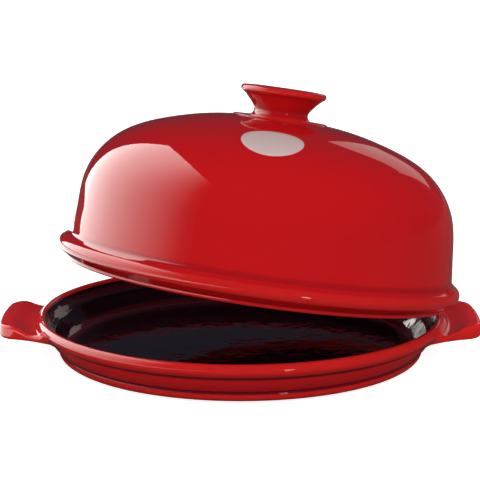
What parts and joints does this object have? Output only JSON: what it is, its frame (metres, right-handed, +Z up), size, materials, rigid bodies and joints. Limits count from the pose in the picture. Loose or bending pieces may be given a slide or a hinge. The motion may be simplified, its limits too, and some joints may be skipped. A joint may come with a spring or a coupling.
{
  "type": "bread cloche",
  "caption": "Round glazed stoneware bread cloche: a shallow dish with ear handles under a tall domed lid with a flared knob, the lid propped open on the rim.",
  "frame": {"origin": "centre of the dish's foot ring, on the surface the dish stands on", "axes": "+X through the right-hand ear handle as seen from the front, +Z up, and -Y to the front"},
  "size_m": [0.34, 0.2917, 0.1939],
  "materials": {
    "outer_glaze": "glossy red glaze",
    "inner_glaze": "glossy near-black glaze with a dimpled surface",
    "mark": "pale grey-pink printed oval under clear glaze"
  },
  "bodies": {
    "base": {"base_dish": "outer_glaze", "dish_lining": "inner_glaze"},
    "lid": {"lid_dome": "outer_glaze", "lid_lining": "inner_glaze", "lid_knob": "outer_glaze", "mark_oval": "mark"}
  },
  "joints": [
    {"name": "lid_tilt", "type": "hinge", "parent": "base", "child": "lid", "pos_m": [0.14246, 0.09279, 0.00668], "axis": [-0.5186, 0.7693, 0.3733], "range_deg": [-10.77, 49]}
  ]
}
